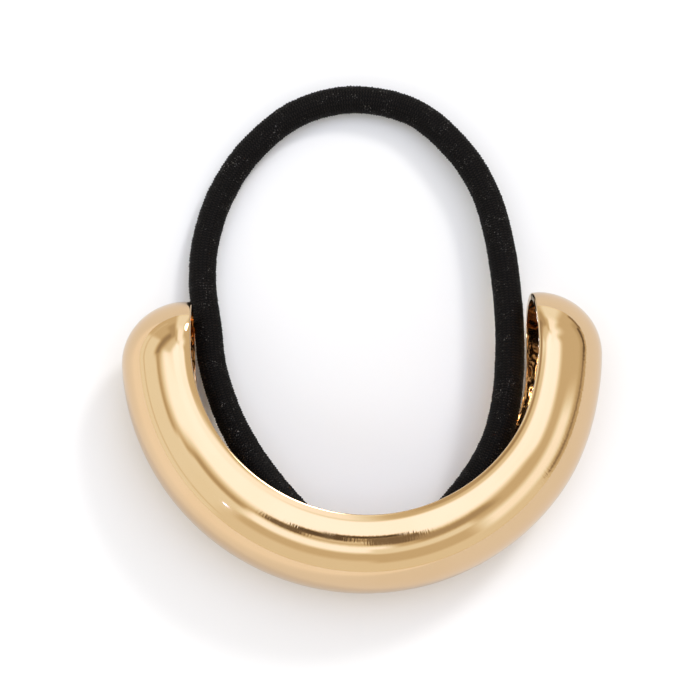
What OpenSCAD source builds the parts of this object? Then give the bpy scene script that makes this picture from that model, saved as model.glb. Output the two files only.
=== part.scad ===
// Hair tie: a gold half-tube cuff with an elastic loop held in its channel.
// Millimetres. The origin is the middle of the cuff's arc, on the surface that it lies on.
// +Z points up, along the ponytail, and the open side of the cuff faces +Y.

/* [Cuff] */
// Radius from the middle of the ponytail to the rim
rim_r = 24; // [23.8:0.1:26]
// Outer radius of the half tube
tube_r = 8.8; // [8.4:0.1:9.6]
// How far outside the rim the middle of the tube runs
tube_set = 1; // [0.6:0.1:1.6]
// Wall of the half tube
wall = 1; // [0.6:0.1:1.4]
// Angle from the middle of the cuff to where each end starts to close
end_angle = 87; // [85:0.5:88]

/* [Holder] */
// Diameter of the post that the elastic passes behind
post_d = 1.8; // [1.2:0.1:2.4]
// Gap between the post and the elastic
post_gap = 0.2; // [0.1:0.05:0.5]

/* [Elastic] */
// Thickness of the elastic
elastic_d = 4; // [3.2:0.1:4.2]

/* [Hidden] */
$fn = 96;
gold = "#D8AE74";
black = "#141315";

// The tube's middle line: its radius and its height over the surface
axis_r = rim_r + tube_set;
mid_z = tube_r;

// How far the cutters reach past what they cut
reach = 2;

// Middle line of the elastic as it lies, once round from behind the post: x, y, z.
// It leaves the channel at half height, comes down on the left and rests at the far end.
route_points = [
    [0, -29.1, 8.8], [-5, -27.4, 8.7], [-10.6, -21.6, 8.2], [-15.4, -15.2, 7.2],
    [-18.9, -8.4, 5.8], [-21.1, -1, 4.4], [-21.7, 5, 3.4], [-22.4, 11.5, 2.9],
    [-21.8, 18, 2.5], [-19.4, 25, 2.2], [-15, 31.5, 2.1], [-8.3, 36.8, 2.1],
    [0, 38.7, 2.3], [8.6, 36.5, 2.7], [14.8, 30.6, 3.3], [18.4, 24, 3.9],
    [20.1, 16.5, 4.8], [20.8, 8.5, 5.8], [20.8, 1, 6.8], [20, -6.5, 7.6],
    [18, -13.2, 8.2], [13.6, -20, 8.6], [6, -27.4, 8.8]
];
drawn_rim_r = 24;  // rim radius that the route is drawn for
held_y = route_points[0].y;

// Rings of the elastic's tube: how many between two route points, and sides of each
rings_per_span = 3;
ring_sides = 12;

// The post stands just inside the elastic, its ends within the wall
post_y = held_y * rim_r / drawn_rim_r + elastic_d / 2 + post_gap + post_d / 2;
post_end = sqrt(pow(tube_r - wall / 2, 2) - pow(-post_y - axis_r, 2));

// Catmull-Rom point between b and c, at t from 0 to 1
function between(a, b, c, d, t) =
    0.5 * (2 * b + (c - a) * t + (2 * a - 5 * b + 4 * c - d) * t * t
           + (3 * b - a - 3 * c + d) * t * t * t);

// The closed route with rings_per_span points for each of its own
function smooth_loop(points) =
    let (n = len(points))
    [for (i = [0 : n - 1], k = [0 : rings_per_span - 1])
        between(points[(i + n - 1) % n], points[i], points[(i + 1) % n], points[(i + 2) % n],
                k / rings_per_span)];

function unit(v) = v / norm(v);

// One ring of points around a middle point, square to the way the tube runs
function ring(middle, way, r) =
    let (side = unit(cross(way, [0, 0, 1])), up = cross(side, way))
    [for (s = [0 : ring_sides - 1])
        let (a = 360 * s / ring_sides)
        middle + r * (cos(a) * side + sin(a) * up)];

// Closed tube of radius r along a closed line
module loop_tube(line, r) {
    n = len(line);
    points = [for (i = [0 : n - 1])
        each ring(line[i], unit(line[(i + 1) % n] - line[(i + n - 1) % n]), r)];
    faces = [for (i = [0 : n - 1], s = [0 : ring_sides - 1])
        let (j = (i + 1) % n, t = (s + 1) % ring_sides)
        [i * ring_sides + s, i * ring_sides + t, j * ring_sides + t, j * ring_sides + s]];
    polyhedron(points, faces);
}

// Section of the half tube, open at the rim, beside the ponytail's axis
module open_section() {
    difference() {
        translate([axis_r, 0]) circle(tube_r);
        translate([axis_r, 0]) circle(tube_r - wall);
        translate([rim_r - 2 * tube_r, -tube_r - reach]) square([2 * tube_r, 2 * (tube_r + reach)]);
    }
}

// Round end that closes the tube at +X. Its rim runs on from the arc's rim, straight along Y.
module round_end() {
    size = tube_r + reach;
    lean = 90 - end_angle;
    rotate(-lean)
        intersection() {
            difference() {
                translate([axis_r, 0, 0]) sphere(tube_r);
                translate([axis_r, 0, 0]) sphere(tube_r - wall);
            }
            translate([0, 0, -size])
                linear_extrude(2 * size)
                    polygon([[rim_r, 0], [rim_r + 2 * size, 0], [rim_r + 2 * size, size],
                             [rim_r - size * tan(lean), size]]);
        }
}

module post() {
    translate([0, post_y, mid_z - post_end]) cylinder(h = 2 * post_end, d = post_d);
}

module cuff() {
    color(gold)
        union() {
            translate([0, 0, mid_z]) {
                rotate(-90 - end_angle) rotate_extrude(angle = 2 * end_angle) open_section();
                round_end();
                rotate([0, 180, 0]) round_end();
            }
            post();
        }
}

module elastic() {
    size = rim_r / drawn_rim_r;
    line = smooth_loop([for (p = route_points) [p.x * size, p.y * size, p.z]]);
    color(black) loop_tube(line, elastic_d / 2);
}

cuff();
elastic();
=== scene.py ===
import math

import bmesh
import bpy
import numpy as np
from mathutils import Matrix, Vector


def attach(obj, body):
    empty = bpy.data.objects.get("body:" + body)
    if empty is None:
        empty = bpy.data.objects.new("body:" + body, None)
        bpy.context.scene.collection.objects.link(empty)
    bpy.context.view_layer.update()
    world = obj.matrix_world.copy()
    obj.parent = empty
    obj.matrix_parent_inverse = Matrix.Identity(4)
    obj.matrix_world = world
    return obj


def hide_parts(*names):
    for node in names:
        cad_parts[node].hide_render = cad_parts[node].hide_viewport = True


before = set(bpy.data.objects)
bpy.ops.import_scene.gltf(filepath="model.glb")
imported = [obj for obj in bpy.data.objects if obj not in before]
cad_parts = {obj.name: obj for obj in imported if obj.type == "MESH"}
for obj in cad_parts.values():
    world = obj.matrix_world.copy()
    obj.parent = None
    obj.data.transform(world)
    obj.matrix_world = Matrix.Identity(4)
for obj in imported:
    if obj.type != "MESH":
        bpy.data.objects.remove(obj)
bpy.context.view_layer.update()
print("frame loaded:", ", ".join(sorted(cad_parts)))


def smoothStep(value, start, end):
    t = max(0.0, min(1.0, (value - start) / (end - start)))
    return t * t * (3 - 2 * t)


def radial(angle, distance, height):
    return Vector((distance * math.cos(angle), distance * math.sin(angle), height))


def activate(piece):  # selects this piece alone
    if bpy.context.object and bpy.context.object.mode != "OBJECT":
        bpy.ops.object.mode_set(mode="OBJECT")
    bpy.ops.object.select_all(action="DESELECT")
    piece.select_set(True)
    bpy.context.view_layer.objects.active = piece


def bakePlace(piece):  # the object goes to the origin and its place into the mesh
    activate(piece)
    bpy.ops.object.transform_apply(location=True, rotation=True, scale=True)


def applyModifier(piece, name):
    activate(piece)
    bpy.ops.object.modifier_apply(modifier=name)


def addNode(tree, kind, **values):
    node = tree.nodes.new(kind)
    for name, value in values.items():
        setattr(node, name, value)
    return node


def wire(tree, source, target):
    tree.links.new(source, target)


def mathNode(tree, operation, first, second=None, third=None):
    node = addNode(tree, "ShaderNodeMath", operation=operation)
    for socket, value in zip(node.inputs, (first, second, third)):
        if isinstance(value, (int, float)):
            socket.default_value = value
        elif value is not None:
            wire(tree, value, socket)
    return node.outputs[0]


def rampNode(tree, source, low, high, toLow=0.0, toHigh=1.0):
    node = addNode(tree, "ShaderNodeMapRange", interpolation_type="SMOOTHSTEP")
    wire(tree, source, node.inputs["Value"])
    for name, value in (("From Min", low), ("From Max", high), ("To Min", toLow), ("To Max", toHigh)):
        node.inputs[name].default_value = value
    return node.outputs["Result"]


def mixColours(tree, share, first, second):
    node = addNode(tree, "ShaderNodeMix", data_type="RGBA")
    for socket, value in zip((node.inputs[0], node.inputs[6], node.inputs[7]), (share, first, second)):
        if isinstance(value, (int, float)):
            socket.default_value = value
        elif isinstance(value, tuple):
            socket.default_value = (*value, 1)
        else:
            wire(tree, value, socket)
    return node.outputs[2]


def newMaterial(name, **values):
    material = bpy.data.materials.new(name)
    material.use_nodes = True
    tree = material.node_tree
    shader = tree.nodes["Principled BSDF"]
    for socket, value in values.items():
        shader.inputs[socket.replace("_", " ")].default_value = value
    return material, tree, shader


# the camera stands at the photo's angle
view = {
    "place": (-0.02086, -0.07754, 0.39412),
    "aim": (-0.00189, 0.00038, 0.00878),
    "up": (0.01565, 0.98006, 0.19807),
    "lens": 144.6,
    "clip": (0.01, 20),
}
cameraData = bpy.data.cameras.new("camera")
cameraData.lens = view["lens"]
cameraData.clip_start, cameraData.clip_end = view["clip"]
camera = bpy.data.objects.new("camera", cameraData)
bpy.context.scene.collection.objects.link(camera)
back = (Vector(view["place"]) - Vector(view["aim"])).normalized()
right = Vector(view["up"]).cross(back).normalized()
turned = Matrix((right, back.cross(right), back)).transposed().to_4x4()
camera.matrix_world = Matrix.Translation(view["place"]) @ turned
bpy.context.scene.camera = camera
print("camera placed")


# the elastic is a knitted tube that runs once round from behind the post
elastic = {
    "thickness": 0.004,
    # middle line in metres: behind the post, down the left strand, the far end, back on the right
    "route": [
        (0, -0.0291, 0.0088), (-0.0050, -0.0274, 0.0087), (-0.0106, -0.0216, 0.0082),
        (-0.0154, -0.0152, 0.0072), (-0.0189, -0.0084, 0.0058), (-0.0211, -0.0010, 0.0044),
        (-0.0217, 0.0050, 0.0034), (-0.0224, 0.0115, 0.0029), (-0.0218, 0.0180, 0.0025),
        (-0.0194, 0.0250, 0.0022), (-0.0150, 0.0315, 0.0021), (-0.0083, 0.0368, 0.0021),
        (0, 0.0387, 0.0023), (0.0086, 0.0365, 0.0027), (0.0148, 0.0306, 0.0033),
        (0.0184, 0.0240, 0.0039), (0.0201, 0.0165, 0.0048), (0.0208, 0.0085, 0.0058),
        (0.0208, 0.0010, 0.0068), (0.0200, -0.0065, 0.0076), (0.0180, -0.0132, 0.0082),
        (0.0136, -0.0200, 0.0086), (0.0060, -0.0274, 0.0088),
    ],
    "ribs": 440,          # courses of the knit along the loop
    "ringsPerRib": 4,
    "wales": 20,          # columns of stitches round the tube
    "ribDepth": 0.00007,
    "waleDepth": 0.00004,
    "uneven": 0.00003,    # how much single stitches stand out or sink in
    "spread": 0.03,       # how much the thickness varies along the loop
    "thickestAt": 0.83,   # where it is thickest, as a share of the way round
    "ripples": [(9, 0.006), (23, 0.004)],   # smaller swells: how many round the loop, and how much
    "seed": 7,
    "finePerPoint": 60,   # steps between two route points, to measure the loop's length
    "toldLength": 0.177,  # the loop's length, as given
    "pathStep": 3,        # a step of three rings along the loop
}


def catmull(a, b, c, d, t):
    return 0.5 * (2 * b + (c - a) * t + (2 * a - 5 * b + 4 * c - d) * t * t
                  + (3 * b - a - 3 * c + d) * t * t * t)


def evenLoop(points, count):  # the closed route as points an equal way apart
    points = np.array(points)
    n, fine = len(points), elastic["finePerPoint"]
    line = np.array([
        catmull(points[i - 1], points[i], points[(i + 1) % n], points[(i + 2) % n], k / fine)
        for i in range(n) for k in range(fine)])
    closed = np.vstack([line, line[:1]])
    along = np.concatenate([[0], np.cumsum(np.linalg.norm(np.diff(closed, axis=0), axis=1))])
    at = np.arange(count) / count * along[-1]
    return np.stack([np.interp(at, along, closed[:, k]) for k in range(3)], 1), along[-1]


def makeElastic():
    rings = elastic["ribs"] * elastic["ringsPerRib"]
    sides = 2 * elastic["wales"]
    middle, length = evenLoop(elastic["route"], rings)
    way = np.roll(middle, -1, 0) - np.roll(middle, 1, 0)
    way /= np.linalg.norm(way, axis=1, keepdims=True)
    side = np.cross(way, (0, 0, 1))
    side /= np.linalg.norm(side, axis=1, keepdims=True)
    up = np.cross(side, way)
    turn = 2 * np.pi * np.arange(sides) / sides
    rib = 2 * np.pi * np.arange(rings)[:, None] / elastic["ringsPerRib"]
    ridge = (np.arange(sides) % 2 == 0)[None, :]
    shift = np.pi * (np.arange(sides) // 2 % 2)[None, :]
    share = np.arange(rings)[:, None] / rings
    # a little thicker down the right strand, and thinner down the left one
    swell = 1 + elastic["spread"] * np.cos(2 * np.pi * (share - elastic["thickestAt"]))
    for count, size in elastic["ripples"]:
        swell += size * np.sin(2 * np.pi * count * share)
    r = elastic["thickness"] / 2 * swell \
        + elastic["ribDepth"] * np.cos(rib + shift) * ridge \
        - elastic["waleDepth"] * ~ridge
    stitch = np.random.default_rng(elastic["seed"]).normal(size=(elastic["ribs"], sides))
    r += elastic["uneven"] * np.repeat(stitch, elastic["ringsPerRib"], axis=0).clip(-2, 2)
    points = middle[:, None] + r[..., None] * (
        np.cos(turn)[None, :, None] * side[:, None] + np.sin(turn)[None, :, None] * up[:, None])
    i, s = np.meshgrid(np.arange(rings), np.arange(sides), indexing="ij")
    j, t = (i + 1) % rings, (s + 1) % sides
    faces = np.stack([i * sides + s, j * sides + s, j * sides + t, i * sides + t], -1).reshape(-1, 4)
    mesh = bpy.data.meshes.new("knittedElastic")
    mesh.vertices.add(rings * sides)
    mesh.vertices.foreach_set("co", points.reshape(-1).astype(np.float32))
    mesh.loops.add(faces.size)
    mesh.loops.foreach_set("vertex_index", faces.reshape(-1).astype(np.int32))
    mesh.polygons.add(len(faces))
    mesh.polygons.foreach_set("loop_start", np.arange(0, faces.size, 4, dtype=np.int32))
    mesh.polygons.foreach_set("use_smooth", np.ones(len(faces), bool))
    mesh.update(calc_edges=True)
    # u counts wales and v counts ribs, so the stitches follow the tube
    corners = np.stack([
        np.stack([s, s, s + 1, s + 1], -1) / 2,
        np.stack([i, i + 1, i + 1, i], -1) / elastic["ringsPerRib"]], -1)
    knitMap = mesh.uv_layers.new(name="stitches")
    knitMap.data.foreach_set("uv", corners.reshape(-1).astype(np.float32))
    mesh.validate()
    piece = bpy.data.objects.new("knittedElastic", mesh)
    bpy.context.scene.collection.objects.link(piece)
    return piece, middle, length


knittedElastic, elasticMiddle, elasticLength = makeElastic()
print(f"elastic made, {elasticLength * 1000:.1f} mm round")


# the cuff is half a tube bent into a C, closed by two round ends and rough inside
cuff = {
    "rimRadius": 0.024,
    "tubeRadius": 0.0088,
    "axisRadius": 0.025,
    "middleZ": 0.0088,
    "wall": 0.001,
    "endAngle": 87,         # degrees each way from the middle of the arc
    "sectionSides": 144,
    "arcSteps": 174,
    "lip": 0.0006,          # how far the lower rim reaches in past the upper one
    # the outer face rolls over towards the rim: how wide and deep at the left end, in the middle
    # and at the right end, the turns along the arc where each of them holds, and its edge loops
    "rollWidth": (0.0027, 0.0021, 0.0020),
    "rollDepth": (0.00064, 0.00044, 0.00054),
    "rollTurns": (-1.4, -0.7, 0.3, 1.2),
    "rollLoops": (0.000015, 0.00006, 0.00018, 0.0003, 0.00045),
    # it dies away past the arc: where at the left and the right end, and how much of it
    "rollFade": ((0.003, 0.008), (0.0, 0.006)),
    "rollLoss": 0.8,
    "rimRound": 0.00018,    # radius of the rim's outer edge
    "straighten": 0.0015,   # how gently the rim at each end turns straight along Y
    # the right end stands a little higher and further in, and its lower rim gives way outwards
    "rightUp": 0.0006,
    "rightUpTurns": (1.0, 1.6),
    "rightIn": 0.0003,
    "rightInTurns": (0.9, 1.4),
    "rightGive": 0.00055,
    "rightGiveReach": 0.004,
    "castDepth": 0.00022,   # how rough the casting is inside
    "castSize": 0.0011,
    "castDetail": 2,
    "cutGap": 0.0000001,    # nearer than this to a cutting plane, a point lies on it
    "weldGap": 0.000002,    # nearer than this, two points are one
    "smoothBelow": 50,      # degrees between faces that are shaded as one surface
}


def rimReach(height):  # how far from the ponytail's axis the rim is at a height
    return cuff["rimRadius"] - cuff["lip"] * (1 - height / (2 * cuff["tubeRadius"]))


def cutPlane(place, normal, **choices):
    bpy.ops.mesh.select_all(action="SELECT")
    bpy.ops.mesh.bisect(plane_co=place, plane_no=normal, threshold=cuff["cutGap"], **choices)


def cutLoops(along):  # opens the tube at the rim, with edge loops for a smooth roll beside it
    lean = Vector((0, 0, cuff["lip"])) - along * 2 * cuff["tubeRadius"]
    top = along * cuff["rimRadius"] + Vector((0, 0, 2 * cuff["tubeRadius"]))
    cutPlane(top, -lean.normalized(), clear_inner=True)
    for step in cuff["rollLoops"]:
        cutPlane(top + along * step, lean)


def makeArc():
    start = math.radians(-90 + cuff["endAngle"])
    bpy.ops.mesh.primitive_circle_add(
        vertices=cuff["sectionSides"], radius=cuff["tubeRadius"],
        location=radial(start, cuff["axisRadius"], cuff["middleZ"]),
        rotation=(math.pi / 2, 0, start))
    arc = bpy.context.object
    bakePlace(arc)
    bpy.ops.object.mode_set(mode="EDIT")
    cutLoops(radial(start, 1, 0))
    bpy.ops.mesh.select_all(action="SELECT")
    # spin turns clockwise here, from the right end to the left one
    bpy.ops.mesh.spin(steps=cuff["arcSteps"], angle=math.radians(2 * cuff["endAngle"]),
                      center=(0, 0, 0), axis=(0, 0, 1))
    bpy.ops.object.mode_set(mode="OBJECT")
    return arc


def makeRoundEnd(side):  # -1 for the left end, 1 for the right
    angle = math.radians(-90 + side * cuff["endAngle"])
    along, onward = radial(angle, 1, 0), Vector((-math.sin(angle), math.cos(angle), 0)) * side
    middle = radial(angle, cuff["axisRadius"], cuff["middleZ"])
    # the ball's poles lie across the cuff, so that its rings run along the rim
    bpy.ops.mesh.primitive_uv_sphere_add(
        segments=cuff["sectionSides"], ring_count=cuff["sectionSides"] // 2,
        radius=cuff["tubeRadius"], location=middle, rotation=(0, math.pi / 2, angle))
    end = bpy.context.object
    bakePlace(end)
    bpy.ops.object.mode_set(mode="EDIT")
    cutPlane((0, 0, cuff["middleZ"]), onward, clear_inner=True)
    cutLoops(along)
    bpy.ops.object.mode_set(mode="OBJECT")
    lean = math.sin(math.radians(90 - cuff["endAngle"]))
    span = cuff["axisRadius"] + cuff["tubeRadius"] - cuff["rimRadius"]
    for point in end.data.vertices:
        way = point.co - middle
        ahead = max(0.0, way.dot(onward))
        inner = 1 - (point.co.dot(along) - cuff["rimRadius"]) / span
        point.co.x -= side * lean * inner * ahead * ahead / (ahead + cuff["straighten"])
    return end


def rollRim(shell):
    # near the rim the outer face sinks towards the middle of the tube
    inside = shell.vertex_groups["inside"].index
    limit = math.radians(cuff["endAngle"])
    for point in shell.data.vertices:
        if any(g.group == inside for g in point.groups):
            continue
        turn = max(-limit, min(limit, math.atan2(point.co.x, -point.co.y)))
        out = Vector((math.sin(turn), -math.cos(turn), 0))
        tube = out * cuff["axisRadius"] + Vector((0, 0, cuff["middleZ"]))
        rimAt, ahead = rimReach(point.co.z), 0.0
        if abs(turn) == limit:  # past the arc the rim runs straight along Y
            onward = Vector((math.cos(turn), math.sin(turn), 0)) * math.copysign(1, turn)
            ahead = max(0.0, (point.co - tube).dot(onward))
            lean = math.sin(math.radians(90 - cuff["endAngle"]))
            rimAt -= lean * ahead * ahead / (ahead + cuff["straighten"])
        width, depth = (np.interp(turn, cuff["rollTurns"], (left, middle, middle, right))
                        for left, middle, right in (cuff["rollWidth"], cuff["rollDepth"]))
        beyond = max(0.0, point.co.dot(out) - rimAt)
        if beyond < width:
            fade = cuff["rollLoss"] * smoothStep(ahead, *cuff["rollFade"][int(turn > 0)])
            drop = depth * (1 - beyond / width) ** 2 * (1 - fade)
            edge = max(0.0, cuff["rimRound"] - beyond)
            drop += cuff["rimRound"] - math.sqrt(cuff["rimRound"] ** 2 - edge ** 2)
            point.co -= (point.co - tube).normalized() * drop


def shiftRightEnd(shell):
    for point in shell.data.vertices:
        turn = math.atan2(point.co.x, -point.co.y)
        reach = point.co.x if point.co.y > 0 else math.hypot(point.co.x, point.co.y)
        low = 1 - point.co.z / (2 * cuff["tubeRadius"])
        past = smoothStep(reach - cuff["rimRadius"], 0, cuff["rightGiveReach"])
        give = cuff["rightGive"] * low ** 2 * (1 - past)
        point.co.x += (give - cuff["rightIn"]) * smoothStep(turn, *cuff["rightInTurns"])
        point.co.y += cuff["rightUp"] * smoothStep(turn, *cuff["rightUpTurns"])


def roughenInside(shell):
    cast = bpy.data.textures.new("castGrain", "CLOUDS")
    cast.noise_scale = cuff["castSize"]
    cast.noise_depth = cuff["castDetail"]
    rough = shell.modifiers.new("rough", "DISPLACE")
    rough.texture = cast
    rough.texture_coords = "LOCAL"
    rough.strength = cuff["castDepth"]
    rough.mid_level = 0.5
    rough.vertex_group = "inside"
    applyModifier(shell, "rough")


def makeCuff():
    shell, leftEnd, rightEnd = makeArc(), makeRoundEnd(-1), makeRoundEnd(1)
    activate(shell)
    leftEnd.select_set(True)
    rightEnd.select_set(True)
    bpy.ops.object.join()
    shell.name = shell.data.name = "goldCuff"
    bpy.ops.object.mode_set(mode="EDIT")
    bpy.ops.mesh.select_all(action="SELECT")
    bpy.ops.mesh.remove_doubles(threshold=cuff["weldGap"])
    bpy.ops.mesh.normals_make_consistent(inside=False)
    bpy.ops.object.mode_set(mode="OBJECT")
    # the outer face is the one that looks away from the tube's middle line
    lowest = min(shell.data.polygons, key=lambda p: p.center.y)
    if lowest.normal.y > 0:
        shell.data.flip_normals()
    wall = shell.modifiers.new("wall", "SOLIDIFY")
    wall.thickness = cuff["wall"]
    wall.offset = -1
    wall.use_even_offset = False
    wall.use_quality_normals = True
    wall.material_offset = 1
    shell.vertex_groups.new(name="inside")
    wall.shell_vertex_group = "inside"
    applyModifier(shell, "wall")
    rollRim(shell)
    shiftRightEnd(shell)
    roughenInside(shell)
    activate(shell)
    bpy.ops.object.shade_smooth_by_angle(angle=math.radians(cuff["smoothBelow"]))
    return shell


goldCuff = makeCuff()
print(f"cuff made, {len(goldCuff.data.polygons)} faces")


# the post holds the elastic in the channel, with a fillet of solder at each end
post = {
    "place": (0, -0.026),
    "radius": 0.0009,
    "halfStraight": 0.0066,
    # rise and widening of each step of the fillet, the last one in the wall
    "fillet": [(0.0005, 1.08), (0.00035, 1.25), (0.0002, 1.45), (0.00055, 1.0)],
    "sides": 40,
}


def makePost():
    centre = Vector((*post["place"], cuff["middleZ"]))
    bpy.ops.mesh.primitive_cylinder_add(
        vertices=post["sides"], radius=post["radius"], depth=2 * post["halfStraight"], location=centre)
    pin = bpy.context.object
    pin.name = pin.data.name = "holdingPost"
    bakePlace(pin)
    bpy.ops.object.mode_set(mode="EDIT")
    for way in (-1, 1):
        bpy.ops.mesh.select_all(action="DESELECT")
        mesh = bmesh.from_edit_mesh(pin.data)
        height = centre.z + way * post["halfStraight"]
        for face in mesh.faces:
            face.select_set(abs(face.calc_center_median().z - height) < cuff["weldGap"])
        bmesh.update_edit_mesh(pin.data)
        for rise, widen in post["fillet"]:
            bpy.ops.mesh.extrude_region_move(TRANSFORM_OT_translate={"value": (0, 0, way * rise)})
            height += way * rise
            bpy.ops.transform.resize(value=(widen, widen, 1), center_override=(centre.x, centre.y, height))
    bpy.ops.object.mode_set(mode="OBJECT")
    pin.data.shade_smooth()
    return pin


holdingPost = makePost()
print("post made")


# patchesGroup turns noise into a mask of soft patches, for every finish on this tie
def makePatchesGroup():
    group = bpy.data.node_groups.new("patches", "ShaderNodeTree")
    group.interface.new_socket(name="Place", in_out="INPUT", socket_type="NodeSocketVector")
    for name in ("Scale", "Detail", "From", "To", "Low", "High"):
        group.interface.new_socket(name=name, in_out="INPUT", socket_type="NodeSocketFloat")
    group.interface.new_socket(name="Mask", in_out="OUTPUT", socket_type="NodeSocketFloat")
    begin, finish = addNode(group, "NodeGroupInput"), addNode(group, "NodeGroupOutput")
    noise = addNode(group, "ShaderNodeTexNoise")
    spread = addNode(group, "ShaderNodeMapRange", interpolation_type="SMOOTHSTEP")
    wire(group, begin.outputs["Place"], noise.inputs["Vector"])
    wire(group, begin.outputs["Scale"], noise.inputs["Scale"])
    wire(group, begin.outputs["Detail"], noise.inputs["Detail"])
    wire(group, noise.outputs["Fac"], spread.inputs["Value"])
    for name, socket in (("From", "From Min"), ("To", "From Max"), ("Low", "To Min"), ("High", "To Max")):
        wire(group, begin.outputs[name], spread.inputs[socket])
    wire(group, spread.outputs["Result"], finish.inputs["Mask"])
    return group


patchesGroup = makePatchesGroup()


def patches(tree, place, scale, detail, start, end, low=0.0, high=1.0):
    node = addNode(tree, "ShaderNodeGroup", node_tree=patchesGroup)
    wire(tree, place, node.inputs["Place"])
    for name, value in (("Scale", scale), ("Detail", detail), ("From", start), ("To", end),
                        ("Low", low), ("High", high)):
        node.inputs[name].default_value = value
    return node.outputs["Mask"]


def bumpNode(tree, height, strength, distance, shader):
    bump = addNode(tree, "ShaderNodeBump")
    bump.inputs["Strength"].default_value = strength
    bump.inputs["Distance"].default_value = distance
    wire(tree, height, bump.inputs["Height"])
    wire(tree, bump.outputs[0], shader.inputs["Normal"])


gold = {
    "colour": (0.745, 0.530, 0.315),
    "deepColour": (0.71, 0.48, 0.255),
    "castColour": (0.98, 0.70, 0.36),
    "amberCastColour": (0.88, 0.36, 0.05),
    "castMetallic": (1.0, 0.35),   # on the peaks, and in the hollows
    # patches: scale and detail of the noise, its values from and to, and the mask there
    "clouds": (90, 3, 0.3, 0.75, 0.0, 0.35),
    "handling": (400, 5, 0.35, 0.8, 0.045, 0.11),   # the roughness, clean and handled
    "teeth": (1.0, 1, 0.2, 0.8),
    "wave": (160, 1, 0.0, 1.0, 0.0, 0.000006),      # the swell of the surface, in metres
    "castClouds": (500, 4, 0.35, 0.7),
    "castHollows": (560, 2, 0.40, 0.58),
    "castRoughness": (500, 4, 0.3, 0.75, 0.45, 0.22),
    "castGrain": (1500, 3, 0.0, 1.0),
    "castBump": (0.8, 0.0001),     # strength and depth
    "teethPerMetre": (4200, 700, 1),   # along the arc, and round the tube
    # bands of polishing marks: angle round the tube and half width, angle along the arc and reach,
    # and the shares of the half width and the reach from where they fade
    "markFade": (0.4, 0.6),
    "marks": [
        {"roll": 0.27, "half": 0.16, "turn": -0.05, "reach": 0.75, "depth": 0.0000028},
        {"roll": 0.76, "half": 0.20, "turn": 1.45, "reach": 0.75, "depth": 0.000008},
    ],
}


def polarPlace(tree):
    # x counts along the cuff's arc and y round its tube, both in metres
    place = addNode(tree, "ShaderNodeTexCoord").outputs["Object"]
    parts = addNode(tree, "ShaderNodeSeparateXYZ")
    wire(tree, place, parts.inputs[0])
    x, y, z = parts.outputs
    turn = mathNode(tree, "ARCTAN2", x, mathNode(tree, "MULTIPLY", y, -1.0))
    reach = mathNode(tree, "SQRT", mathNode(tree, "ADD", mathNode(tree, "MULTIPLY", x, x),
                                            mathNode(tree, "MULTIPLY", y, y)))
    outward = mathNode(tree, "SUBTRACT", reach, cuff["axisRadius"])
    upward = mathNode(tree, "SUBTRACT", z, cuff["middleZ"])
    roll = mathNode(tree, "ARCTAN2", outward, upward)
    both = addNode(tree, "ShaderNodeCombineXYZ")
    wire(tree, mathNode(tree, "MULTIPLY", turn, cuff["axisRadius"]), both.inputs[0])
    wire(tree, mathNode(tree, "MULTIPLY", roll, cuff["tubeRadius"]), both.inputs[1])
    return place, both.outputs[0], turn, roll


def makeGold():
    material, tree, shader = newMaterial("polishedGold", Metallic=1.0, Roughness=0.05)
    place, both, turn, roll = polarPlace(tree)
    # warm cloudy shifts in the plating
    tint = mixColours(tree, patches(tree, place, *gold["clouds"]), gold["colour"], gold["deepColour"])
    wire(tree, tint, shader.inputs["Base Color"])
    # fine handling marks dull the polish here and there
    wire(tree, patches(tree, place, *gold["handling"]), shader.inputs["Roughness"])
    # polishing marks run across the tube and fray the edges of what it mirrors,
    # in the middle of the arc and along the outside of the right end
    stretch = addNode(tree, "ShaderNodeMapping")
    stretch.inputs["Scale"].default_value = gold["teethPerMetre"]
    wire(tree, both, stretch.inputs["Vector"])
    teeth = patches(tree, stretch.outputs[0], *gold["teeth"])
    band = None
    halfFade, reachFade = gold["markFade"]
    for mark in gold["marks"]:
        across = rampNode(tree, mathNode(tree, "ABSOLUTE", mathNode(tree, "SUBTRACT", roll, mark["roll"])),
                          mark["half"] * halfFade, mark["half"], 1.0, 0.0)
        along = rampNode(tree, mathNode(tree, "ABSOLUTE", mathNode(tree, "SUBTRACT", turn, mark["turn"])),
                         mark["reach"] * reachFade, mark["reach"], mark["depth"], 0.0)
        share = mathNode(tree, "MULTIPLY", across, along)
        band = mathNode(tree, "ADD", band, share) if band else share
    wave = patches(tree, place, *gold["wave"])
    bumpNode(tree, mathNode(tree, "ADD", mathNode(tree, "MULTIPLY", teeth, band), wave), 1.0, 1.0, shader)
    return material


def makeCastGold():
    material, tree, shader = newMaterial("castGold", Metallic=1.0, Roughness=0.25)
    place = addNode(tree, "ShaderNodeTexCoord").outputs["Object"]
    tint = mixColours(tree, patches(tree, place, *gold["castClouds"]), gold["castColour"],
                      gold["deepColour"])
    # the hollows of the casting are a duller amber
    hollow = patches(tree, place, *gold["castHollows"])
    wire(tree, mixColours(tree, hollow, tint, gold["amberCastColour"]), shader.inputs["Base Color"])
    wire(tree, rampNode(tree, hollow, 0, 1, *gold["castMetallic"]), shader.inputs["Metallic"])
    wire(tree, patches(tree, place, *gold["castRoughness"]), shader.inputs["Roughness"])
    bumpNode(tree, patches(tree, place, *gold["castGrain"]), *gold["castBump"], shader)
    return material


polishedGold = makeGold()
castGold = makeCastGold()
goldCuff.data.materials.append(polishedGold)
goldCuff.data.materials.append(castGold)
holdingPost.data.materials.append(castGold)
print("gold made")


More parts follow.
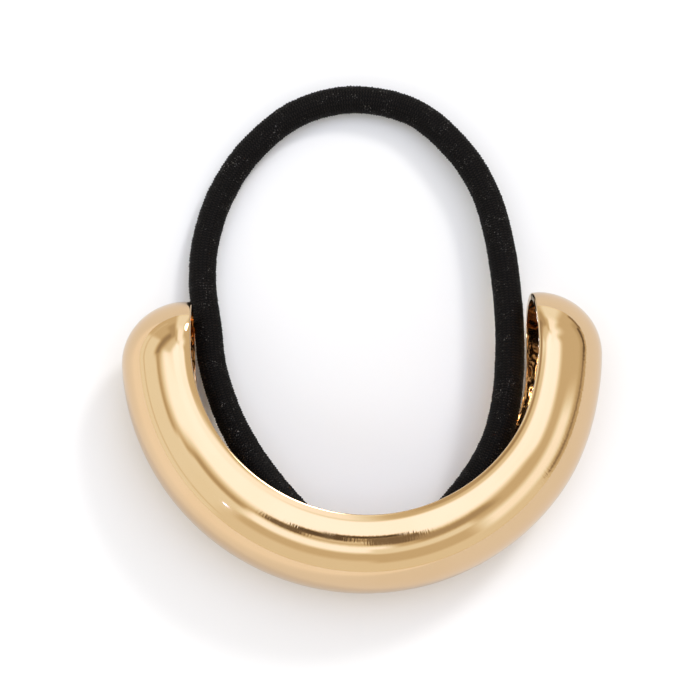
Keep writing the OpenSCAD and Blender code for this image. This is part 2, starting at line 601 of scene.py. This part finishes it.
knit = {
    # painted shade: the knit's grooves are coloured near black
    "grooveShadeColour": (0.0012, 0.0011, 0.0012),
    "yarnColour": (0.0150, 0.0115, 0.0102),
    "glintColour": (0.22, 0.205, 0.19),
    "sheenTint": (0.5, 0.47, 0.45, 1),
    "slant": 1.2,               # how far a stitch bends up across half a wale, in ribs
    "yarnWave": (-0.6, 0.9),    # the wave's heights where the yarn starts and is full
    "grooveWidth": 0.16,        # in wales
    # patches: scale and detail of the noise, its values from and to, and the mask there
    "fibres": (3800, 3, 0.2, 0.8, 0.25, 1.3),
    "filaments": (5600, 0, 0.70, 0.80),
    "filamentAreas": (500, 2, 0.46, 0.70),
    "roughness": (0.72, 0.22),  # of the yarn, and of a bright filament
    "bump": (0.7, 0.00006),     # strength and depth
}


def makeKnit():
    material, tree, shader = newMaterial(
        "blackKnit", Roughness=0.7, Specular_IOR_Level=0.10, Sheen_Weight=0.03, Sheen_Roughness=0.45)
    shader.inputs["Sheen Tint"].default_value = knit["sheenTint"]
    stitches = addNode(tree, "ShaderNodeTexCoord").outputs["UV"]
    parts = addNode(tree, "ShaderNodeSeparateXYZ")
    wire(tree, stitches, parts.inputs[0])
    u, v = parts.outputs[0], parts.outputs[1]
    # each stitch is a small V: the rib bends up towards the middle of its wale
    inWale = mathNode(tree, "PINGPONG", u, 0.5)
    slant = mathNode(tree, "MULTIPLY", inWale, knit["slant"])
    course = mathNode(tree, "SINE", mathNode(tree, "MULTIPLY", mathNode(tree, "ADD", v, slant), 2 * math.pi))
    yarn = rampNode(tree, course, *knit["yarnWave"])
    groove = rampNode(tree, inWale, 0.0, knit["grooveWidth"])
    raised = mathNode(tree, "MULTIPLY", yarn, groove)
    # loose fibres soften the pattern
    place = addNode(tree, "ShaderNodeTexCoord").outputs["Object"]
    fuzzy = mathNode(tree, "MULTIPLY", raised, patches(tree, place, *knit["fibres"]))
    # painted shade: between courses and wales the yarn's colour goes dark, as the knit's hollows would be
    # shaded
    base = mixColours(tree, fuzzy, knit["grooveShadeColour"], knit["yarnColour"])
    # the odd filament catches the light, in patches
    glint = mathNode(tree, "MULTIPLY", patches(tree, place, *knit["filaments"]),
                     patches(tree, place, *knit["filamentAreas"]))
    wire(tree, mixColours(tree, glint, base, knit["glintColour"]), shader.inputs["Base Color"])
    wire(tree, glint, shader.inputs["Metallic"])
    wire(tree, rampNode(tree, glint, 0.0, 1.0, *knit["roughness"]), shader.inputs["Roughness"])
    bumpNode(tree, fuzzy, *knit["bump"], shader)
    return material


knittedElastic.data.materials.append(makeKnit())
print("knit made")


studio = {
    "floorSize": 8.0,
    "floorDrop": 0.00005,   # how far it lies under the tie
    "floorColour": (0.935, 0.915, 0.90),
    # painted shade: mirrored in the gold, the table's colour is darker, but for its far left: the way there,
    # and from and to how many metres along it the painted shade fades
    "paintedTableShade": 0.85,
    "tableWay": (-0.89, -0.45, 0),
    "tableFade": (0.035, 0.075),
    "keyFrom": (0.45, 0.55, 0.70),
    "keySpread": 0.20,      # radians across
    "keyPower": 0.764,
    # small lamps: sparks on the left tip and along the rim below it, and a glow in the right channel.
    # Under lights stands whether a lamp lights matt surfaces too.
    "smallLamps": {
        "tipSpark": {"place": (0.0087, 0.052, 0.038), "aim": (-0.0236, 0.0045, 0.0165),
                     "sides": (0.012, 0.013), "spread": 40, "power": 0.00009, "lights": False},
        "rimSpark": {"place": (-0.0031, 0.0012, 0.0225), "aim": (-0.0130, -0.0200, 0.0172),
                     "sides": (0.008, 0.021), "spread": 40, "power": 0.00045, "lights": False},
        "channelGlow": {"place": (0.0232, -0.001, 0.0035), "aim": (0.030, -0.001, 0.0045),
                        "sides": (0.015, 0.002), "spread": 180, "power": 0.0020, "lights": True},
    },
    "strength": 1.05,
    "room": 0.68,         # brightness of the room round the panels
    # red and blue for each part of green: change with the brightness, start and least
    "redShare": (-0.35, 1.33, 0.93),
    "blueShare": (0.50, 0.43, 0.72),
    # soft panels of light and shade: middle and half width round the room, from and to an angle
    # down from straight overhead, softness of the edge (all in degrees), and brightness
    "panels": [
        {"round": (182, 44), "down": (50, 91), "soft": 8, "light": 1.06},      # left wall
        {"round": (-150, 20), "down": (43, 54), "soft": 6, "light": 1.08},
        {"round": (175, 62), "down": (78.5, 81), "soft": 2, "light": 0.80},    # skirting line
        {"round": (135, 32), "down": (43, 57), "soft": 10, "light": 0.33},     # gap beside the light
        {"round": (178, 15), "down": (46, 53), "soft": 6, "light": 0.50},
        {"round": (-168, 9), "down": (40, 47), "soft": 6, "light": 0.50},
        {"round": (-148, 14), "down": (36, 42), "soft": 6, "light": 0.48},
        {"round": (0, 200), "down": (-30, 30), "soft": 14, "light": 1.60},     # overhead light
        {"round": (172, 22), "down": (18, 43), "soft": 18, "light": 1.55},
        {"round": (128, 28), "down": (26, 42), "soft": 20, "light": 0.92},
        {"round": (77, 15), "down": (58, 91), "soft": 12, "light": 1.18},      # right wall behind
        {"round": (72, 13), "down": (32, 62), "soft": 13, "light": 1.38},
        {"round": (24, 38), "down": (18, 35), "soft": 12, "light": 1.55},
        {"round": (54, 13), "down": (16, 48), "soft": 20, "light": 1.50},
        {"round": (107, 9), "down": (44, 72), "soft": 9, "light": 0.50},
        {"round": (-84, 18), "down": (19.5, 25), "soft": 3, "light": 0.09},    # stand over the table
        {"round": (-89, 8), "down": (25, 30), "soft": 3, "light": 0.55},
        {"round": (-104, 13), "down": (22, 31), "soft": 4, "light": 0.11},
        {"round": (-119, 9), "down": (27.5, 37), "soft": 4, "light": 0.17},
        {"round": (-74, 12), "down": (24, 38), "soft": 4, "light": 0.20},
        {"round": (-53, 15), "down": (31.5, 43), "soft": 8, "light": 0.42},
        {"round": (-105, 27), "down": (38.5, 51), "soft": 7, "light": 1.52},   # strip light in front
        {"round": (-68, 18), "down": (44, 53), "soft": 5, "light": 1.08},
        {"round": (-76, 62), "down": (66, 91), "soft": 8, "light": 0.91},
        {"round": (-68, 18), "down": (56, 71), "soft": 6, "light": 0.67},
        {"round": (-26, 24), "down": (53, 72), "soft": 12, "light": 1.36},     # right window
        {"round": (8, 34), "down": (75, 89), "soft": 9, "light": 0.52},        # its dark sill
        {"round": (-8, 18), "down": (79.5, 83.5), "soft": 2.5, "light": 0.28},
        {"round": (20, 14), "down": (81, 86), "soft": 2.5, "light": 0.13},
        {"round": (42, 10), "down": (85, 91), "soft": 4, "light": 0.26},
        {"round": (-138, 0.7), "down": (57.2, 59), "soft": 1.2, "light": 4.5},
    ],
}


def makeFloor():
    bpy.ops.mesh.primitive_plane_add(size=studio["floorSize"], location=(0, 0, -studio["floorDrop"]))
    floor = bpy.context.object
    floor.name = floor.data.name = "floor"
    bakePlace(floor)
    material, tree, shader = newMaterial("paleFloor", Roughness=0.9, Specular_IOR_Level=0.1)
    along = addNode(tree, "ShaderNodeVectorMath", operation="DOT_PRODUCT")
    wire(tree, addNode(tree, "ShaderNodeTexCoord").outputs["Object"], along.inputs[0])
    along.inputs[1].default_value = studio["tableWay"]
    lit = rampNode(tree, along.outputs["Value"], *studio["tableFade"], studio["paintedTableShade"], 1.0)
    # only where the gold mirrors it, the table gets painted shade, fading out towards its far left
    mirrored = addNode(tree, "ShaderNodeLightPath").outputs["Is Glossy Ray"]
    mirroredTable = mixColours(tree, lit, (0, 0, 0), studio["floorColour"])
    wire(tree, mixColours(tree, mirrored, studio["floorColour"], mirroredTable),
         shader.inputs["Base Color"])
    floor.data.materials.append(material)
    return floor


def makeLamp(name, kind, place, aim, power):
    lamp = bpy.data.lights.new(name, kind)
    lamp.energy = power
    light = bpy.data.objects.new(name, lamp)
    light.location = place
    light.rotation_euler = (Vector(place) - Vector(aim)).to_track_quat("Z", "Y").to_euler()
    light.visible_camera = False
    bpy.context.scene.collection.objects.link(light)
    return light


def makeLamps():
    # the key throws the shadows, while the panels are what the gold mirrors
    key = makeLamp("keyLight", "SUN", studio["keyFrom"], (0, 0, 0), studio["keyPower"])
    key.data.angle = studio["keySpread"]
    key.visible_glossy = False
    for name, lamp in studio["smallLamps"].items():
        light = makeLamp(name, "AREA", lamp["place"], lamp["aim"], lamp["power"])
        light.data.shape = "ELLIPSE"
        light.data.size, light.data.size_y = lamp["sides"]
        light.data.spread = math.radians(lamp["spread"])
        light.visible_diffuse = lamp["lights"]


def makePanelGroup():
    # lays one soft panel over the light so far
    group = bpy.data.node_groups.new("studioPanel", "ShaderNodeTree")
    for name in ("Round", "Down", "Middle", "Half Width", "From", "To", "Soft", "Light So Far",
                 "Panel Light"):
        group.interface.new_socket(name=name, in_out="INPUT", socket_type="NodeSocketFloat")
    group.interface.new_socket(name="Light", in_out="OUTPUT", socket_type="NodeSocketFloat")
    begin, finish = addNode(group, "NodeGroupInput"), addNode(group, "NodeGroupOutput")
    given = begin.outputs
    aside = mathNode(group, "ABSOLUTE", mathNode(
        group, "WRAP", mathNode(group, "SUBTRACT", given["Round"], given["Middle"]), 180.0, -180.0))
    halfSoft = mathNode(group, "MULTIPLY", given["Soft"], 0.5)
    share = None
    for place, limit, way in ((aside, given["Half Width"], 1), (given["Down"], given["From"], -1),
                              (given["Down"], given["To"], 1)):
        edge = addNode(group, "ShaderNodeMapRange", interpolation_type="SMOOTHSTEP")
        wire(group, place, edge.inputs["Value"])
        ends = ("From Max", "From Min") if way > 0 else ("From Min", "From Max")
        wire(group, mathNode(group, "SUBTRACT", limit, halfSoft), edge.inputs[ends[0]])
        wire(group, mathNode(group, "ADD", limit, halfSoft), edge.inputs[ends[1]])
        inside = edge.outputs["Result"]
        share = mathNode(group, "MULTIPLY", share, inside) if share else inside
    mix = addNode(group, "ShaderNodeMix", data_type="FLOAT")
    for socket, source in zip(mix.inputs, (share, None, given["Light So Far"], given["Panel Light"])):
        if source:
            wire(group, source, socket)
    wire(group, mix.outputs[0], finish.inputs["Light"])
    return group


def makeRoom():
    world = bpy.data.worlds.new("softRoom")
    bpy.context.scene.world = world
    world.use_nodes = True
    tree = world.node_tree
    parts = addNode(tree, "ShaderNodeSeparateXYZ")
    wire(tree, addNode(tree, "ShaderNodeTexCoord").outputs["Generated"], parts.inputs[0])
    x, y, z = parts.outputs
    degrees = 180 / math.pi
    turn = mathNode(tree, "MULTIPLY", mathNode(tree, "ARCTAN2", y, x), degrees)
    down = mathNode(tree, "MULTIPLY", mathNode(tree, "ARCCOSINE", z), degrees)
    panelGroup = makePanelGroup()
    light = None
    for panel in studio["panels"]:
        node = addNode(tree, "ShaderNodeGroup", node_tree=panelGroup)
        wire(tree, turn, node.inputs["Round"])
        wire(tree, down, node.inputs["Down"])
        for name, value in (("Middle", panel["round"][0]), ("Half Width", panel["round"][1]),
                            ("From", panel["down"][0]), ("To", panel["down"][1]), ("Soft", panel["soft"]),
                            ("Panel Light", panel["light"]), ("Light So Far", studio["room"])):
            node.inputs[name].default_value = value
        if light:
            wire(tree, light, node.inputs["Light So Far"])
        light = node.outputs["Light"]
    # dim places are warm and bright ones are cool
    colour = addNode(tree, "ShaderNodeCombineColor")
    wire(tree, light, colour.inputs[1])
    for socket, (change, start, least) in ((0, studio["redShare"]), (2, studio["blueShare"])):
        share = mathNode(tree, "MAXIMUM", mathNode(tree, "MULTIPLY_ADD", light, change, start), least)
        wire(tree, mathNode(tree, "MULTIPLY", light, share), colour.inputs[socket])
    wire(tree, colour.outputs[0], tree.nodes["Background"].inputs["Color"])
    tree.nodes["Background"].inputs["Strength"].default_value = studio["strength"]


makeFloor()
makeLamps()
makeRoom()
bpy.context.scene.view_settings.view_transform = "Standard"
print("studio lit")


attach(knittedElastic, "root")
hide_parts("elastic")
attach(goldCuff, "root")
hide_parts("cuff")
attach(holdingPost, "root")
